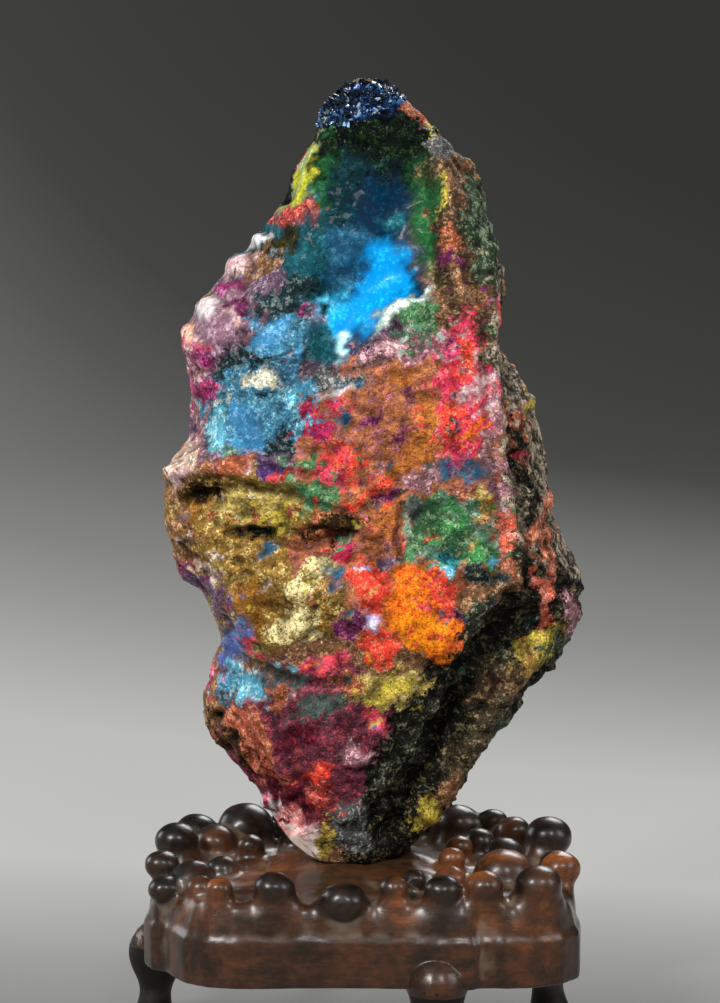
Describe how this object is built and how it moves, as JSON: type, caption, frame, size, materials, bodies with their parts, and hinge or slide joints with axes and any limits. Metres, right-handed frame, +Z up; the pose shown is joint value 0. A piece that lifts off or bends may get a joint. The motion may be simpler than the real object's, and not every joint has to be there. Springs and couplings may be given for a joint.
{
  "type": "agate on stand",
  "caption": "Upright many-coloured agate viewing stone standing in the socket of a carved dark rosewood stand with knobbed rim and cabriole feet",
  "frame": {"origin": "middle of the footprint, on the surface that the feet stand on", "axes": "+Z up along the stone, +Y away from the viewer, +X to the viewer's right"},
  "size_m": [0.0926, 0.076, 0.191],
  "materials": {
    "agate_stone": "wet-looking polish over broken crystalline stone, many colours",
    "rosewood": "hand-rubbed satin wax with glossy knobs"
  },
  "bodies": {
    "root": {"agate": "agate_stone", "stand": "rosewood", "foot_left": "rosewood", "foot_front": "rosewood", "foot_right": "rosewood", "foot_back": "rosewood"}
  },
  "joints": []
}
